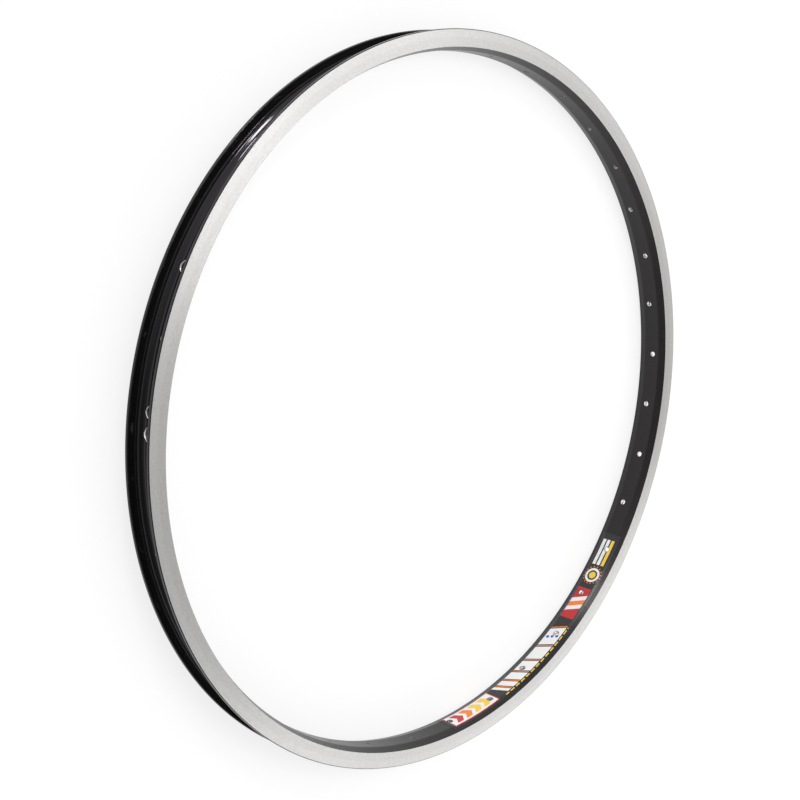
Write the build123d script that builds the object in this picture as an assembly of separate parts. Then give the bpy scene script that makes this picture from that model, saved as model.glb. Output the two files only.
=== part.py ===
from build123d import *
import os
from math import degrees, hypot

# Bicycle rim: a double-walled aluminium hoop and the film sticker on its spoke bed.
# Millimetres and degrees. The wheel's axis is Z and the origin is the wheel's centre,
# so the hoop lies on one of its brake tracks.

# Hoop
bead_seat_diameter = 559.0  # where the tyre's beads sit
rim_width = 27.2  # over both brake tracks
rim_depth = 15.2  # from the flange tips down to the spoke bed
flange_height = 6.3  # flange tips above the bead seat
flange_wall = 2.0
tip_width = 2.7  # flange tip with its hook
hook_height = 1.5
track_height = 12.9  # flat band on each side
bed_width = 13.7  # flat of the spoke bed
well_depth = 3.5  # well floor below the bead seat
well_width = 16.4  # between the two bead seats
floor_width = 12.0  # flat of the well floor

# Walls round the chamber
bed_wall = 2.1
side_wall = 1.9
bridge_wall = 1.4

# Holes, all drilled along radii of the wheel
spoke_count = 36
spoke_hole_diameter = 4.5
spoke_hole_offset = 1.4  # alternate holes lie this far to either side of the middle
access_hole_diameter = 8.5  # lets a nipple through to its spoke hole
valve_hole_diameter = 8.5  # through the spoke bed
valve_foot_diameter = 11.8  # through the well floor, round the valve's thick foot
valve_from_spoke = 3.0  # angle from the first spoke hole to the valve hole

# Sticker
decal_length = 257.0  # along the spoke bed
decal_width = 20.0  # across the bed and onto both shoulders
decal_film = 0.2
decal_angle = 131.0  # middle of the sticker, from +X
decal_hole_margin = 0.4  # film trimmed back round each spoke hole

# Radii and half widths that follow from those sizes
seat_radius = bead_seat_diameter / 2
tip_radius = seat_radius + flange_height
bed_radius = tip_radius - rim_depth
track_foot_radius = tip_radius - track_height
floor_radius = seat_radius - well_depth
hook_radius = tip_radius - hook_height
half_width = rim_width / 2
flange_face = half_width - flange_wall
hook_face = half_width - tip_width
chamber_middle = (bed_radius + bed_wall + floor_radius - bridge_wall) / 2

# Corners of the section's upper half, as distance from the wheel's axis and height:
# from the middle of the spoke bed, over shoulder and flange, to the middle of the well
bed_middle = (bed_radius, 0)
bed_edge = (bed_radius, bed_width / 2)
track_foot = (track_foot_radius, half_width)
tip_outer = (tip_radius, half_width)
tip_inner = (tip_radius, hook_face)
hook_lip = (hook_radius, hook_face)
hook_root = (hook_radius - (flange_face - hook_face), flange_face)
flange_root = (seat_radius, flange_face)
seat_edge = (seat_radius, well_width / 2)
floor_edge = (floor_radius, floor_width / 2)
floor_middle = (floor_radius, 0)
box_corner = (seat_radius, half_width)


def shifted(start, end, distance):
    # A straight stretch moved sideways, to its right
    run_r, run_z = end[0] - start[0], end[1] - start[1]
    length = hypot(run_r, run_z)
    move_r, move_z = distance * run_z / length, -distance * run_r / length
    return (start[0] + move_r, start[1] + move_z), (end[0] + move_r, end[1] + move_z)


def meeting_point(stretch, other):
    # Where the lines of two straight stretches cross
    (r, z), (end_r, end_z) = stretch
    (other_r, other_z), (other_end_r, other_end_z) = other
    run_r, run_z = end_r - r, end_z - z
    other_run_r, other_run_z = other_end_r - other_r, other_end_z - other_z
    cross = run_r * other_run_z - run_z * other_run_r
    along = ((other_r - r) * other_run_z - (other_z - z) * other_run_r) / cross
    return r + along * run_r, z + along * run_z


def beside(line, distances):
    # The line that runs beside another, each stretch at its own distance to the right
    stretches = [shifted(*ends) for ends in zip(line, line[1:], distances)]
    corners = [meeting_point(*pair) for pair in zip(stretches, stretches[1:])]
    return [stretches[0][0], *corners, stretches[-1][1]]


def section(half):
    # A face of the hoop's section from its upper half
    upper = [corner for corner in half if corner[1] > 0]
    lower = [(r, -z) for r, z in reversed(upper)]
    return make_face(Plane.XZ * Polyline(*upper, *lower, close=True))


def drill(diameter, low, high, angle, offset=0):
    # A drill along one radius of the wheel, between two distances from its axis
    bit = Cylinder(diameter / 2, high - low, align=(Align.CENTER, Align.CENTER, Align.MIN))
    return Rot(Z=angle) * Pos(low, 0, offset) * Rot(Y=90) * bit


def spoke_places():
    # Angle and sideways offset of every spoke hole, to the two sides in turn
    pitch = 360 / spoke_count
    for number in range(spoke_count):
        side = -1 if number % 2 == 0 else 1
        yield pitch / 2 + number * pitch, side * spoke_hole_offset


def drills_at_spokes(diameter, low, high):
    # The same drill at every spoke's place
    return [drill(diameter, low, high, *place) for place in spoke_places()]


def make_rim():
    skin = [
        bed_middle, bed_edge, track_foot, tip_outer, tip_inner, hook_lip,
        hook_root, flange_root, seat_edge, floor_edge, floor_middle,
    ]
    # The chamber keeps its walls' thicknesses behind the skin that closes the box below the flanges
    box = [bed_middle, bed_edge, track_foot, box_corner, seat_edge, floor_edge, floor_middle]
    chamber = beside(box, [bed_wall, bed_wall, side_wall, bridge_wall, bridge_wall, bridge_wall])
    hoop = revolve(section(skin) - section(chamber), Axis.Z)

    below_bed = bed_radius - bed_wall
    spoke_drills = drills_at_spokes(spoke_hole_diameter, below_bed, chamber_middle)
    access_drills = drills_at_spokes(access_hole_diameter, chamber_middle, tip_radius)
    first_spoke_angle = next(spoke_places())[0]
    valve_angle = first_spoke_angle + valve_from_spoke
    valve_drill = drill(valve_hole_diameter, below_bed, chamber_middle, valve_angle)
    foot_drill = drill(valve_foot_diameter, chamber_middle, tip_radius, valve_angle)
    return hoop - (spoke_drills + access_drills + [valve_drill, foot_drill])


def make_decal():
    # The film lies on the bed, over its edges and part of the way up both shoulders
    rise_r, rise_z = track_foot[0] - bed_edge[0], track_foot[1] - bed_edge[1]
    climb = (decal_width - bed_width) / 2 / hypot(rise_r, rise_z)
    film_end = (bed_edge[0] + climb * rise_r, bed_edge[1] + climb * rise_z)
    under = [bed_middle, bed_edge, film_end]
    face_middle, face_edge, face_end = beside(under, [-decal_film, -decal_film])
    strip = section([*under, face_end, face_edge, face_middle])
    arc = degrees(decal_length / bed_radius)
    film = Rot(Z=decal_angle - arc / 2) * revolve(strip, Axis.Z, arc)
    trimmed_hole = spoke_hole_diameter + 2 * decal_hole_margin
    return film - drills_at_spokes(trimmed_hole, bed_radius - bed_wall, bed_radius + bed_wall)


os.makedirs("parts", exist_ok=True)
export_step(make_rim(), "parts/rim.step")
export_step(make_decal(), "parts/decal.step")
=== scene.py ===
import math
from types import SimpleNamespace

import bmesh
import bpy
from mathutils import Matrix, Vector
from mathutils.geometry import intersect_line_line


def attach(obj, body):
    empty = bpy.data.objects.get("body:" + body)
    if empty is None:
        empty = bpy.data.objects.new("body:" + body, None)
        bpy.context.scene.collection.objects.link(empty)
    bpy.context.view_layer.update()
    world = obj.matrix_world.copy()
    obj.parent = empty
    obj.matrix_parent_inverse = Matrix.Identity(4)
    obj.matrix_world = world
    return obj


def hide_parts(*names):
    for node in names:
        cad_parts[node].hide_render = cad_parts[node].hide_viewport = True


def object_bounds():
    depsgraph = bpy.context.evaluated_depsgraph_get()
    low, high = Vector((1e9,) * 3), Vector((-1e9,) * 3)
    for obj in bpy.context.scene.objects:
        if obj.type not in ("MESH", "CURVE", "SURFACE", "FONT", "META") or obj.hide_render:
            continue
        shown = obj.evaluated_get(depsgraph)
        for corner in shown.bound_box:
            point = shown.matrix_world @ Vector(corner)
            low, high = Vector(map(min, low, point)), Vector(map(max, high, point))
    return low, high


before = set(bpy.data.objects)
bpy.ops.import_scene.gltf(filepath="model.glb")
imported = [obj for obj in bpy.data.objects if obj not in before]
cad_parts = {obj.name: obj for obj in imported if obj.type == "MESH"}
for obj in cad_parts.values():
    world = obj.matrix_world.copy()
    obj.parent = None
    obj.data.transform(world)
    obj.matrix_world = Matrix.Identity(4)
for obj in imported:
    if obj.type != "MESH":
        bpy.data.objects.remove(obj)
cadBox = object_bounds()
scene = bpy.context.scene
scene.view_settings.view_transform = "Standard"
mm = 0.001
hair = 0.001  # millimetres, less than any real step in the shapes
sharpFrom = math.radians(28)  # edges that turn more than this stay sharp
hoopAxis = Vector((0, 0, 1))
print("frame loaded:", ", ".join(sorted(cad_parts)))


# shader helper: a socket that takes part in Python maths

class Value:
    def __init__(self, tree, socket):
        self.tree = tree
        self.socket = socket

    def maths(self, operation, *others):
        inputs = {0: self}
        inputs.update({number + 1: other for number, other in enumerate(others)})
        return self.tree.node("ShaderNodeMath", {"operation": operation}, inputs)

    def __add__(self, other):
        return self.maths("ADD", other)

    def __radd__(self, other):
        return self.maths("ADD", other)

    def __sub__(self, other):
        return self.maths("SUBTRACT", other)

    def __rsub__(self, other):
        return self.tree.number(other).maths("SUBTRACT", self)

    def __mul__(self, other):
        return self.maths("MULTIPLY", other)

    def __rmul__(self, other):
        return self.maths("MULTIPLY", other)

    def __truediv__(self, other):
        return self.maths("DIVIDE", other)

    def __pow__(self, other):
        return self.maths("POWER", other)

    def __abs__(self):
        return self.maths("ABSOLUTE")

    def __mod__(self, other):
        return self.maths("FLOORED_MODULO", other)


class Finish:
    def __init__(self, owner):
        owner.use_nodes = True
        self.owner = owner
        self.tree = owner.node_tree
        kinds = ("BSDF_PRINCIPLED", "BACKGROUND")
        self.shader = next(node for node in self.tree.nodes if node.type in kinds)

    # any node: its settings first, then the values or links of its sockets
    def node(self, kind, settings=None, inputs=None, output=0):
        made = self.tree.nodes.new(kind)
        for key, value in (settings or {}).items():
            setattr(made, key, value)
        for key, value in (inputs or {}).items():
            self.feed(made.inputs[key], value)
        return Value(self, made.outputs[output])

    def feed(self, socket, value):
        if isinstance(value, Value):
            self.tree.links.new(value.socket, socket)
        else:
            socket.default_value = value

    def number(self, value):
        return self.node("ShaderNodeMath", {"operation": "ADD"}, {0: value, 1: 0.0})

    # sockets of the main shader, named without their spaces
    def sockets(self, **values):
        for socket in self.shader.inputs:
            name = socket.name.replace(" ", "")
            if name in values:
                self.feed(socket, values.pop(name))
        assert not values, f"no such socket: {list(values)}"

    # place on the wheel in millimetres, with the distance from its axis and the angle in radians
    def wheelPlace(self):
        place = self.node("ShaderNodeTexCoord", output="Object")
        parts = [self.node("ShaderNodeSeparateXYZ", {}, {0: place}, axis) for axis in "XYZ"]
        x, y, z = (part * (1 / mm) for part in parts)
        radius = (x * x + y * y) ** 0.5
        return SimpleNamespace(x=x, y=y, z=z, radius=radius, angle=y.maths("ARCTAN2", x))

    def vector(self, x, y, z):
        return self.node("ShaderNodeCombineXYZ", {}, {0: x, 1: y, 2: z})

    def noise(self, place, scale=1.0, detail=2.0):
        inputs = {"Vector": place, "Scale": scale, "Detail": detail}
        return self.node("ShaderNodeTexNoise", {}, inputs, "Fac")

    # noise drawn out along the wheel's rim: millimetres of a grain along it, and a value across it
    def drawnNoise(self, at, length, across, detail=2.0):
        turns = hoop["tipRadius"] / length
        around = self.vector(at.x / at.radius * turns, at.y / at.radius * turns, across)
        return self.noise(around, detail=detail)

    def mix(self, share, low, high):
        return self.node("ShaderNodeMix", {"data_type": "RGBA"}, {0: share, 6: low, 7: high}, 2)

    def bump(self, height, strength, distance):
        inputs = {"Height": height, "Strength": strength, "Distance": distance * mm}
        self.sockets(Normal=self.node("ShaderNodeBump", {}, inputs))

    # 1 where the value is above 0, with an edge a little softened
    def above(self, value, soft=0.06):
        return self.node("ShaderNodeClamp", {}, {0: value / soft + 0.5})


def newFinish(name):
    return Finish(bpy.data.materials.new(name))


def grey(level, warm=0.0):
    return (level * (1 + warm), level, level * (1 - warm), 1.0)


# materials of the hoop

def machinedTrack():
    look = {
        "level": 0.42, "spread": 0.15, "warm": 0.010, "rough": 0.44, "roughSpread": 0.12,
        "grainLength": 2.2, "grainWidth": 0.7, "grainShare": 0.7, "grainDetail": 3.0,
        "lineLength": 17.6, "lineWidth": 0.22, "lineShare": 0.3,
        "bandFrom": 6.6, "bandBlend": 1.2, "bandLift": 0.08,
        "brushed": 0.85, "brushTurn": 0.25, "relief": 0.25, "reliefDepth": 0.03,
    }
    finish = newFinish("machined track")
    at = finish.wheelPlace()
    grainAcross = at.radius / look["grainWidth"]
    grain = finish.drawnNoise(at, look["grainLength"], grainAcross, look["grainDetail"])
    lines = finish.drawnNoise(at, look["lineLength"], at.radius / look["lineWidth"])
    # the outer part of the track is a little lighter in colour than the inner part
    outerBand = finish.above(at.radius - (footRadius + look["bandFrom"]), look["bandBlend"])
    shade = grain * look["grainShare"] + lines * look["lineShare"] + (outerBand - 0.5) * look["bandLift"]
    low = grey(look["level"] - look["spread"], look["warm"])
    high = grey(look["level"] + look["spread"], look["warm"])
    finish.sockets(
        BaseColor=finish.mix(shade, low, high),
        Metallic=1.0,
        Roughness=grain * look["roughSpread"] + (look["rough"] - look["roughSpread"] / 2),
        Anisotropic=look["brushed"],
        AnisotropicRotation=look["brushTurn"],
    )
    finish.bump(grain + lines, look["relief"], look["reliefDepth"])
    return finish.owner


# satin on the bed and the shoulders, gloss in the tyre channel
satin = {"level": 0.010, "rough": 0.28, "shine": 0.33, "tint": (1.0, 0.93, 0.94, 1.0), "relief": 0.10}
gloss = {"level": 0.010, "rough": 0.09, "shine": 0.34, "tint": (0.97, 0.90, 1.0, 1.0), "relief": 0.03}
coatGrain = {
    "fineScale": 3.2, "cloudScale": 0.12, "detail": 3.0, "drawnLength": 45, "drawnFineness": 4,
    "levelSpread": 0.2, "warm": 0.03, "roughSpread": 0.29, "reliefDepth": 0.02,
}


def blackCoat(name, look):
    finish = newFinish(name)
    at = finish.wheelPlace()
    point = finish.vector(at.x, at.y, at.z)
    fine = finish.noise(point, coatGrain["fineScale"], coatGrain["detail"])
    cloud = finish.noise(point, coatGrain["cloudScale"], coatGrain["detail"])
    fineness = coatGrain["drawnFineness"]
    drawn = finish.drawnNoise(at, coatGrain["drawnLength"], at.z * fineness + at.radius * fineness)
    low = grey(look["level"] * (1 - coatGrain["levelSpread"]), coatGrain["warm"])
    high = grey(look["level"] * (1 + coatGrain["levelSpread"]), coatGrain["warm"])
    roughSpread = look["rough"] * coatGrain["roughSpread"]
    finish.sockets(
        BaseColor=finish.mix(cloud, low, high),
        Roughness=(fine + cloud) * roughSpread + (look["rough"] - roughSpread),
        SpecularIORLevel=look["shine"],
        SpecularTint=look["tint"],
    )
    finish.bump(fine + drawn, look["relief"], coatGrain["reliefDepth"])
    return finish.owner


def dullMetal():
    look = {"level": 0.12, "rough": 0.6}
    finish = newFinish("dull metal")
    finish.sockets(BaseColor=grey(look["level"]), Metallic=1.0, Roughness=look["rough"])
    return finish.owner


# bare metal in the spoke bed; in the well floor the hole walls carry painted shade, near black, and the
# broken edge round them is bare metal made a little lighter than the rest, a painted highlight
def drilledMetal():
    look = {
        "bare": 0.6, "lip": 0.7, "lipMargin": 0.05, "dark": 0.06, "warm": 0.01,
        "rough": 0.38, "roughSpread": 0.2, "ringScale": 0.2, "ringFineness": 6,
        "relief": 0.3, "reliefDepth": 0.03,
    }
    finish = newFinish("drilled metal")
    at = finish.wheelPlace()
    x, y = at.x * look["ringScale"], at.y * look["ringScale"]
    rings = finish.noise(finish.vector(x, y, at.radius * look["ringFineness"]))
    # painted shade: the walls of the holes through the well floor are coloured near black
    shadedHoleWalls = finish.above(at.radius - chamberMiddle)
    # painted highlight: the broken edge round those holes is bare metal, a little lighter than the spoke
    # bed's holes
    lip = finish.above(at.radius - (floorRadius - drill["lip"] - look["lipMargin"]))
    colour = finish.mix(shadedHoleWalls, grey(look["bare"], look["warm"]), grey(look["dark"]))
    finish.sockets(
        BaseColor=finish.mix(lip, colour, grey(look["lip"], look["warm"])),
        Metallic=1.0,
        Roughness=rings * look["roughSpread"] + (look["rough"] - look["roughSpread"] / 2),
    )
    finish.bump(rings, look["relief"], look["reliefDepth"])
    return finish.owner


# the hoop: one extrusion, rolled and drilled

hoop = {
    "tipRadius": cadBox[1].x / mm,
    "halfWidth": cadBox[1].z / mm,
    "depth": 15.2,
    "flangeHeight": 6.3,
    "flangeWall": 2.0,
    "tipWidth": 2.7,
    "tipRound": 0.6,
    "hookHeight": 1.5,
    "rootRound": 0.8,
    "trackHeight": 12.9,
    "bedWidth": 13.7,
    "bedEdgeRound": 6.0,
    "wellDepth": 3.5,
    "wellWidth": 16.4,
    "floorWidth": 12.0,
    "seatRound": 2.0,
    "floorRound": 3.5,
    "cornerBreak": 0.12,
    "bedWall": 2.1,
    "sideWall": 1.9,
    "bridgeWall": 1.4,
    "steps": 360,
    "roundSegments": 7,
}
bedRadius = hoop["tipRadius"] - hoop["depth"]
seatRadius = hoop["tipRadius"] - hoop["flangeHeight"]
floorRadius = seatRadius - hoop["wellDepth"]
footRadius = hoop["tipRadius"] - hoop["trackHeight"]
chamberMiddle = (bedRadius + hoop["bedWall"] + floorRadius - hoop["bridgeWall"]) / 2


def skinCorners():
    flangeFace = hoop["halfWidth"] - hoop["flangeWall"]
    hookFace = hoop["halfWidth"] - hoop["tipWidth"]
    hookRadius = hoop["tipRadius"] - hoop["hookHeight"]
    return [
        (bedRadius, hoop["bedWidth"] / 2, hoop["bedEdgeRound"]),
        (footRadius, hoop["halfWidth"], hoop["cornerBreak"]),
        (hoop["tipRadius"], hoop["halfWidth"], hoop["tipRound"]),
        (hoop["tipRadius"], hookFace, hoop["tipRound"]),
        (hookRadius, hookFace, hoop["cornerBreak"]),
        (hookRadius - (flangeFace - hookFace), flangeFace, hoop["cornerBreak"]),
        (seatRadius, flangeFace, hoop["rootRound"]),
        (seatRadius, hoop["wellWidth"] / 2, hoop["seatRound"]),
        (floorRadius, hoop["floorWidth"] / 2, hoop["floorRound"]),
    ]


# corners a wall's thickness inside the box that the extrusion encloses
def chamberCorners():
    corners = [Vector((r, 0, z)) for r, z, rounding in skinCorners()]
    bedEdgeAndFoot, seatAndFloorEdge = corners[:2], corners[-2:]
    box = [
        Vector((bedRadius, 0, 0)), *bedEdgeAndFoot, Vector((seatRadius, 0, hoop["halfWidth"])),
        *seatAndFloorEdge, Vector((floorRadius, 0, 0)),
    ]
    walls = ["bedWall", "bedWall", "sideWall", "bridgeWall", "bridgeWall", "bridgeWall"]
    lines = []
    for start, end, wall in zip(box, box[1:], walls):
        inward = (end - start).normalized().cross(Vector((0, -1, 0))) * hoop[wall]
        lines.append((start + inward, end + inward))
    crossings = [intersect_line_line(*line, *after)[0] for line, after in zip(lines, lines[1:])]
    return [(corner.x, corner.z, 0) for corner in crossings]


# a closed section from its upper half, with its corners rounded
def drawSection(bm, upper):
    corners = upper + [(r, -z, rounding) for r, z, rounding in reversed(upper)]
    verts = [bm.verts.new((r * mm, 0, z * mm)) for r, z, rounding in corners]
    bm.faces.new(verts)
    roundings = [rounding * mm for r, z, rounding in corners]
    befores, afters = verts[-1:] + verts[:-1], verts[1:] + verts[:1]
    reaches = []
    for before, vert, after, rounding in zip(befores, verts, afters, roundings):
        turn = (vert.co - before.co).angle(after.co - vert.co)
        reaches.append(rounding * math.tan(turn / 2))
    for vert, reach in zip(verts, reaches):
        if reach > 0:
            bmesh.ops.bevel(
                bm, geom=[vert], offset=reach, offset_type="OFFSET", segments=hoop["roundSegments"],
                profile=0.5, affect="VERTICES", material=-1,
            )
    bmesh.ops.delete(bm, geom=bm.faces[:], context="FACES_ONLY")


def rolled(bm, angle, steps):
    bmesh.ops.spin(
        bm, geom=bm.verts[:] + bm.edges[:], cent=(0, 0, 0), axis=hoopAxis, angle=angle, steps=steps,
        use_merge=angle == math.tau,
    )
    bmesh.ops.remove_doubles(bm, verts=bm.verts[:], dist=hair * mm)


def pieceFrom(bm, name, *materials):
    bmesh.ops.recalc_face_normals(bm, faces=bm.faces[:])
    mesh = bpy.data.meshes.new(name)
    bm.to_mesh(mesh)
    bm.free()
    for material in materials:
        mesh.materials.append(material)
    piece = bpy.data.objects.new(name, mesh)
    scene.collection.objects.link(piece)
    return piece


# takes the cutters out of a piece and keeps the plain mesh that is left
def cutAway(piece, *cutters):
    for cutter in cutters:
        cut = piece.modifiers.new(cutter.name, "BOOLEAN")
        cut.object = cutter
        cut.solver = "EXACT"
        cut.material_mode = "TRANSFER"
    shaped = piece.evaluated_get(bpy.context.evaluated_depsgraph_get())
    mesh = bpy.data.meshes.new_from_object(shaped)
    piece.modifiers.clear()
    piece.data = mesh
    for cutter in cutters:
        bpy.data.objects.remove(cutter)
    mesh.set_sharp_from_angle(angle=sharpFrom)
    for face in mesh.polygons:
        face.use_smooth = True
    flatter = piece.modifiers.new("flatFaces", "WEIGHTED_NORMAL")
    flatter.keep_sharp = True


drill = {
    "spokeHoles": 36,
    "spokeRadius": 2.25,
    "spokeOffset": 1.4,
    "accessRadius": 4.25,
    "valveRadius": 4.25,
    "valveFootRadius": 5.9,
    "valveAngle": 8.0,
    "lip": 0.3,
    "lipRise": 0.02,
    "firstAngle": 5.0,
    "sides": 40,
    "overrun": 1.0,
}


# angle and sideways offset of every spoke hole
def spokePlaces():
    pitch = 360 / drill["spokeHoles"]
    for number in range(drill["spokeHoles"]):
        side = 1 if number % 2 else -1
        yield drill["firstAngle"] + number * pitch, side * drill["spokeOffset"]


# a turned cutter on the X axis, from its outline as distances along and off that axis
def turnedCutter(bm, outline):
    verts = [bm.verts.new((along * mm, 0, off * mm)) for along, off in outline]
    edges = [bm.edges.new(pair) for pair in zip(verts, verts[1:])]
    bmesh.ops.spin(
        bm, geom=verts + edges, cent=(0, 0, 0), axis=(1, 0, 0), angle=math.tau, steps=drill["sides"],
        use_merge=True,
    )
    bmesh.ops.remove_doubles(bm, verts=bm.verts[:], dist=hair * mm)


# copies of all that a bmesh holds, one at each place, instead of the first one
def atPlaces(bm, places):
    masterVerts = bm.verts[:]
    master = masterVerts + bm.edges[:] + bm.faces[:]
    for angle, offset in places:
        copied = bmesh.ops.duplicate(bm, geom=master)["geom"]
        verts = [item for item in copied if isinstance(item, bmesh.types.BMVert)]
        bmesh.ops.translate(bm, vec=(0, 0, offset * mm), verts=verts)
        turn = Matrix.Rotation(math.radians(angle), 3, "Z")
        bmesh.ops.rotate(bm, cent=(0, 0, 0), matrix=turn, verts=verts)
    bmesh.ops.delete(bm, geom=masterVerts, context="VERTS")


# a drill through the bed that grows wider for the well floor and breaks the edge there
def steppedDrill(bedHole, floorHole):
    inside, outside = bedRadius - drill["overrun"], hoop["tipRadius"] + drill["overrun"]
    lip = min(drill["lip"], hoop["floorWidth"] / 2 - floorHole)
    lipTop = floorRadius + drill["lipRise"]
    return [
        (inside, 0), (inside, bedHole), (chamberMiddle, bedHole),
        (chamberMiddle, floorHole), (lipTop - lip, floorHole), (lipTop, floorHole + lip),
        (outside, floorHole + lip), (outside, 0),
    ]


def makeHoop():
    coats = [blackCoat("satin black coat", satin), blackCoat("gloss black coat", gloss), machinedTrack()]
    onBed, inChannel, onTrack = range(len(coats))
    bm = bmesh.new()
    drawSection(bm, skinCorners())
    rolled(bm, math.tau, hoop["steps"])
    for face in bm.faces:
        middle = face.calc_center_median()
        radius = math.hypot(middle.x, middle.y) / mm
        height = abs(middle.z) / mm
        face.material_index = inChannel if radius > footRadius else onBed
        if height > hoop["halfWidth"] - hair:
            face.material_index = onTrack
    body = pieceFrom(bm, "rimHoop", *coats)

    bm = bmesh.new()
    drawSection(bm, chamberCorners())
    rolled(bm, math.tau, hoop["steps"])
    chamber = pieceFrom(bm, "chamber", dullMetal())

    cutMetal = drilledMetal()
    bm = bmesh.new()
    turnedCutter(bm, steppedDrill(drill["spokeRadius"], drill["accessRadius"]))
    atPlaces(bm, spokePlaces())
    spokes = pieceFrom(bm, "spokeDrills", cutMetal)

    bm = bmesh.new()
    turnedCutter(bm, steppedDrill(drill["valveRadius"], drill["valveFootRadius"]))
    atPlaces(bm, [(drill["valveAngle"], 0)])
    valve = pieceFrom(bm, "valveDrill", cutMetal)

    cutAway(body, chamber, spokes, valve)
    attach(body, "root")
    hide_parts("rim")
    print("hoop:", len(body.data.polygons), "faces")


makeHoop()


# the sticker: thin film over the bed and part of both shoulders

film = {
    "length": 257.0,
    "width": 20.0,
    "thickness": 0.2,
    "middleAngle": 131.0,
    "edgeRound": 0.06,
    "holeMargin": 0.4,
    "steps": 110,
}
filmArc = film["length"] / bedRadius
filmStart = math.radians(film["middleAngle"]) - filmArc / 2


# the print, in millimetres along the film from its start and across from its middle
artwork = {
    "panel": {"from": 4, "to": 57, "half": 7.4, "edge": 0.9},
    "heads": {
        "from": 13, "to": 57, "startsAt": 7, "half": 5.8, "slope": 0.8,
        "pitch": 11, "headFrom": 2, "headTo": 9, "red": (0, 24), "yellow": (35, 60),
    },
    "bars": {
        "start": 67, "widths": (4, 7, 10, 13, 16, 20), "half": 7.0, "slope": 0.45,
        "line": (1.0, 2.2), "gap": 3.2,
    },
    "dots": {"place": 143, "offs": (-4, 0, 4), "radius": 1.5},
    "block": {"from": 166, "to": 200, "half": 7.0, "white": (176, 190), "orange": (180.5, 185.5)},
    "ring": {
        "place": 214, "ticks": 16, "tickCircle": 8.6, "tick": (0.6, 1.8), "tickReach": 9.2,
        "discs": ((8.0, "black"), (7.2, "white"), (5.0, "black"), (3.4, "yellow")),
    },
    "lines": {
        "from": 225, "to": 251, "half": 1.6,
        "offs": ((-4.6, "white"), (0, "white"), (4.6, "yellow")),
    },
    "dashes": {
        "half": 0.5, "gap": 2.2,
        "rows": ((66, 157, 8.4, 7, "yellow"), (166, 200, -8.4, 5, "blue")),  # from, to, off, pitch
    },
}
paint = {
    "black": grey(0.010),
    "white": grey(0.79),
    "red": (0.48, 0.012, 0.018, 1),
    "orange": (0.80, 0.20, 0.015, 1),
    "yellow": (0.83, 0.56, 0.05, 1),
    "blue": (0.035, 0.075, 0.42, 1),
}


def filmPrint():
    look = {
        "grainScale": 1.5, "detail": 3.0, "rough": 0.22, "roughSpread": 0.12,
        "relief": 0.05, "reliefDepth": 0.02,
    }
    finish = newFinish("printed film")
    at = finish.wheelPlace()
    along = (at.angle - filmStart) * bedRadius
    across = at.z
    colour = paint["black"]

    def within(value, low, high):
        return finish.above(value - low) * finish.above(high - value)

    def field(low, high, half, off=0):
        return within(along, low, high) * within(across, off - half, off + half)

    def disc(middle, off, size):
        return finish.above(size - ((along - middle) ** 2 + (across - off) ** 2) ** 0.5)

    def layer(mask, name):
        nonlocal colour
        colour = finish.mix(mask, colour, paint[name])

    # arrow heads on a pale panel with a red edge, from red to yellow
    panel, heads = artwork["panel"], artwork["heads"]
    edge = panel["edge"]
    layer(field(panel["from"] - edge, panel["to"] + edge, panel["half"] + edge), "red")
    layer(field(panel["from"], panel["to"], panel["half"]), "white")
    point = along + abs(across) * heads["slope"]
    arrows = within(point % heads["pitch"], heads["headFrom"], heads["headTo"])
    arrows = arrows * within(point, heads["from"], heads["to"])
    arrows = arrows * field(heads["startsAt"], heads["to"], heads["half"])
    warm = finish.mix(within(point, *heads["yellow"]), paint["orange"], paint["yellow"])
    warm = finish.mix(within(point, *heads["red"]), warm, paint["red"])
    colour = finish.mix(arrows, colour, warm)

    # leaning bars, each wider than the last, with a thin line after each, and three dots on the widest
    bars, dots = artwork["bars"], artwork["dots"]
    lean = along - across * bars["slope"]
    height = within(across, -bars["half"], bars["half"])
    lineFrom, lineTo = bars["line"]
    start = bars["start"]
    for width in bars["widths"]:
        end = start + width
        layer(height * within(lean, start, end), "white")
        layer(height * within(lean, end + lineFrom, end + lineTo), "orange")
        start = end + bars["gap"]
    for off in dots["offs"]:
        layer(disc(dots["place"] + off * bars["slope"], off, dots["radius"]), "blue")

    # a block with stripes across it
    stripes = artwork["block"]
    block = field(stripes["from"], stripes["to"], stripes["half"])
    layer(block, "red")
    for name in ("white", "orange"):
        layer(block * within(lean, *stripes[name]), name)

    # a ring with ticks round a disc, and three lines behind it
    ring, lines = artwork["ring"], artwork["lines"]
    aroundRing = across.maths("ARCTAN2", along - ring["place"]) * ring["tickCircle"]
    tickPitch = ring["tickCircle"] * math.tau / ring["ticks"]
    ticks = within(aroundRing % tickPitch, *ring["tick"])
    layer(ticks * disc(ring["place"], 0, ring["tickReach"]), "orange")
    for size, name in ring["discs"]:
        layer(disc(ring["place"], 0, size), name)
    for off, name in lines["offs"]:
        layer(field(lines["from"], lines["to"], lines["half"], off), name)

    # rows of dashes along the edges
    dashes = artwork["dashes"]
    for low, high, off, pitch, name in dashes["rows"]:
        row = field(low, high, dashes["half"], off)
        layer(row * finish.above(along % pitch - dashes["gap"]), name)

    fine = finish.noise(finish.vector(at.x, at.y, at.z), look["grainScale"], look["detail"])
    finish.sockets(BaseColor=colour, Roughness=fine * look["roughSpread"] + look["rough"])
    finish.bump(fine, look["relief"], look["reliefDepth"])
    return finish.owner


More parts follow.
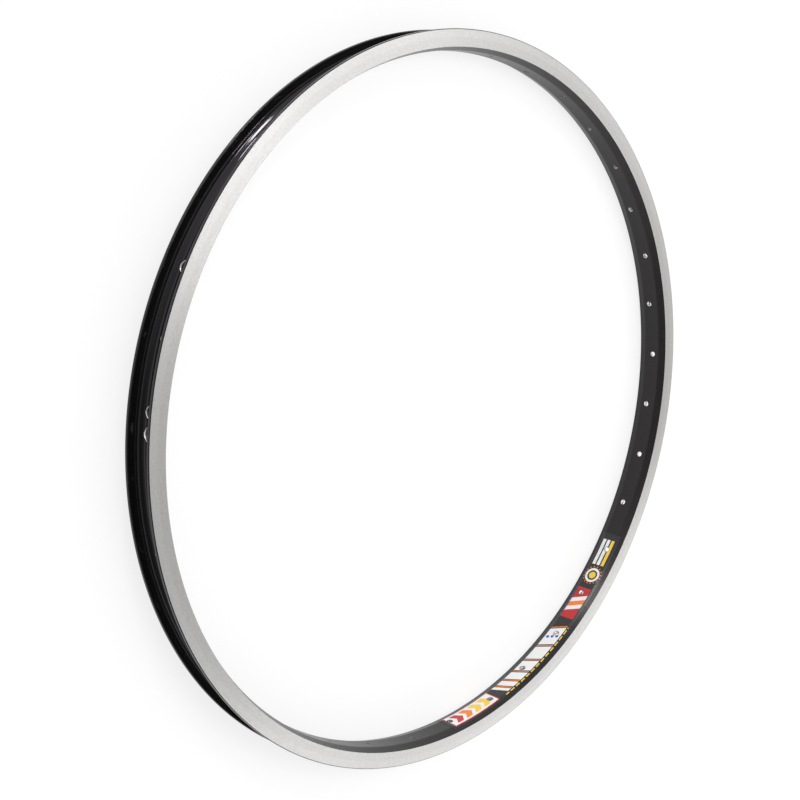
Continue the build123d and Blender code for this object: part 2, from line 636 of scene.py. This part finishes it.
def makeFilm():
    bedEdge, foot = [Vector((r, 0, z)) for r, z, rounding in skinCorners()[:2]]
    climb = (film["width"] - hoop["bedWidth"]) / 2  # up each shoulder
    end = bedEdge + (foot - bedEdge).normalized() * climb
    lift = film["thickness"]
    outward = (foot - bedEdge).normalized().cross(Vector((0, 1, 0))) * lift
    faceEnd = end + outward
    bedLine = (Vector((bedRadius - lift, 0, 0)), Vector((bedRadius - lift, 0, 1)))
    faceEdge = intersect_line_line(bedEdge + outward, faceEnd, *bedLine)[0]
    upper = [
        (faceEdge.x, faceEdge.z, hoop["bedEdgeRound"] + lift),
        (faceEnd.x, faceEnd.z, film["edgeRound"]),
        (end.x, end.z, 0.0),
        (bedEdge.x, bedEdge.z, hoop["bedEdgeRound"]),
    ]
    bm = bmesh.new()
    drawSection(bm, upper)
    turn = Matrix.Rotation(filmStart, 3, "Z")
    bmesh.ops.rotate(bm, cent=(0, 0, 0), matrix=turn, verts=bm.verts[:])
    rolled(bm, filmArc, film["steps"])
    bmesh.ops.holes_fill(bm, edges=[edge for edge in bm.edges if edge.is_boundary])
    printed = filmPrint()
    sticker = pieceFrom(bm, "filmSticker", printed)

    bm = bmesh.new()
    radius = drill["spokeRadius"] + film["holeMargin"]
    inside = bedRadius - drill["overrun"]
    turnedCutter(bm, [(inside, 0), (inside, radius), (chamberMiddle, radius), (chamberMiddle, 0)])
    atPlaces(bm, spokePlaces())
    punches = pieceFrom(bm, "filmPunches", printed)
    cutAway(sticker, punches)
    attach(sticker, "root")
    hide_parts("decal")
    print("sticker:", len(sticker.data.polygons), "faces")


makeFilm()


# floor, background and light

studio = {
    "floorSize": 40.0,
    "floorLevel": 0.9,
    "floorRough": 0.9,
    "floorGlow": 0.75,
    "glowFrom": 400,
    "glowTo": 1400,
    "skyLevel": 0.65,
    "dimSides": [
        {"towards": (0.80, 0.35, 0.48), "from": 0.70, "blend": 0.35, "level": 0.35},
        {"towards": (0.38, 0.49, 0.78), "from": 0.90, "blend": 0.12, "level": 0.25},
    ],
}


def seenDirectly(finish):
    kinds = ("Camera", "Glossy", "Transmission")
    camera, glossy, through = [
        finish.node("ShaderNodeLightPath", output=f"Is {kind} Ray") for kind in kinds
    ]
    return camera.maths("MAXIMUM", glossy).maths("MAXIMUM", through)


def makeFloor():
    bm = bmesh.new()
    bmesh.ops.create_grid(bm, x_segments=1, y_segments=1, size=studio["floorSize"] / 2)
    bmesh.ops.translate(bm, vec=(0, 0, cadBox[0].z), verts=bm.verts[:])
    finish = newFinish("pale floor")
    finish.sockets(
        BaseColor=grey(studio["floorLevel"]), Roughness=studio["floorRough"], SpecularIORLevel=0.0,
    )
    painted = Value(finish, finish.shader.outputs[0])
    white = finish.node("ShaderNodeEmission", {}, {"Color": grey(1), "Strength": 1.0})
    reach = studio["glowTo"] - studio["glowFrom"]
    beyond = finish.wheelPlace().radius - studio["glowFrom"]
    away = finish.node("ShaderNodeClamp", {}, {0: beyond / reach})
    share = seenDirectly(finish) * (away * (1 - studio["floorGlow"]) + studio["floorGlow"])
    seen = finish.node("ShaderNodeMixShader", {}, {0: share, 1: painted, 2: white})
    finish.feed(finish.tree.nodes["Material Output"].inputs["Surface"], seen)
    pieceFrom(bm, "floor", finish.owner)


# white all round to the camera, with dim sides for what mirrors them
def makeWorld():
    sky = Finish(bpy.data.worlds.new("white room"))
    scene.world = sky.owner
    direction = sky.node("ShaderNodeTexCoord", output="Generated")
    mirrored = sky.number(1)
    for side in studio["dimSides"]:
        inputs = {0: direction, 1: side["towards"]}
        facing = sky.node("ShaderNodeVectorMath", {"operation": "DOT_PRODUCT"}, inputs, "Value")
        dim = sky.above(facing - side["from"], side["blend"]) * (1 - side["level"])
        mirrored = mirrored * (1 - dim)
    camera = sky.node("ShaderNodeLightPath", output="Is Camera Ray")
    mirrored = mirrored.maths("MAXIMUM", camera)
    seen = seenDirectly(sky)
    sky.sockets(Color=grey(1), Strength=seen * mirrored + (1 - seen) * studio["skyLevel"])


softboxes = [
    {"name": "left", "azimuth": -135, "elevation": 50, "size": 0.9, "power": 6.4},
    {"name": "strip", "azimuth": -70.4, "elevation": 38.3, "size": 0.19, "power": 4.3},
    {"name": "top", "azimuth": -92, "elevation": 72, "size": 0.9, "power": 10.8},
    {"name": "back left", "azimuth": -165, "elevation": 30, "size": 0.9, "power": 1.7},
    {"name": "back", "azimuth": 178, "elevation": 54, "size": 0.9, "power": 1.4},
    {"name": "back right", "azimuth": 160, "elevation": 28, "size": 0.9, "power": 2.8},
    {"name": "right", "azimuth": 135, "elevation": 20, "size": 0.9, "power": 3.2},
    {"name": "side", "azimuth": 112, "elevation": 24, "size": 0.9, "power": 7.4},
    {"name": "low", "azimuth": -56, "elevation": 5, "size": 0.22, "power": 6.0},
]
lampDistance = 2.0


def makeLights():
    for box in softboxes:
        lamp = bpy.data.lights.new(box["name"], "AREA")
        lamp.shape = "SQUARE"
        lamp.size = box["size"]
        lamp.energy = box["power"]
        across, up = math.radians(box["azimuth"]), math.radians(box["elevation"])
        away = Vector((math.cos(across) * math.cos(up), math.sin(across) * math.cos(up), math.sin(up)))
        lampObject = bpy.data.objects.new(box["name"], lamp)
        lampObject.location = away * lampDistance
        lampObject.rotation_euler = away.to_track_quat("Z", "Y").to_euler()
        scene.collection.objects.link(lampObject)


makeFloor()
makeWorld()
makeLights()
print("studio ready")


# camera where the photograph was taken from

shot = {
    "place": (0.7542, -0.0600, 0.6862),
    "looksAt": (0.0551, -0.0018, 0.0),
    "pictureUp": (0.0775, -0.9837, -0.1624),
    "lens": 58.58,
    "sensor": 36.0,
}


def makeCamera():
    lens = bpy.data.cameras.new("camera")
    lens.lens = shot["lens"]
    lens.sensor_width = shot["sensor"]
    lens.sensor_fit = "HORIZONTAL"
    camera = bpy.data.objects.new("camera", lens)
    back = (Vector(shot["place"]) - Vector(shot["looksAt"])).normalized()
    right = Vector(shot["pictureUp"]).cross(back).normalized()
    turned = Matrix((right, back.cross(right), back)).transposed()
    camera.matrix_world = Matrix.Translation(shot["place"]) @ turned.to_4x4()
    scene.collection.objects.link(camera)
    scene.camera = camera


makeCamera()
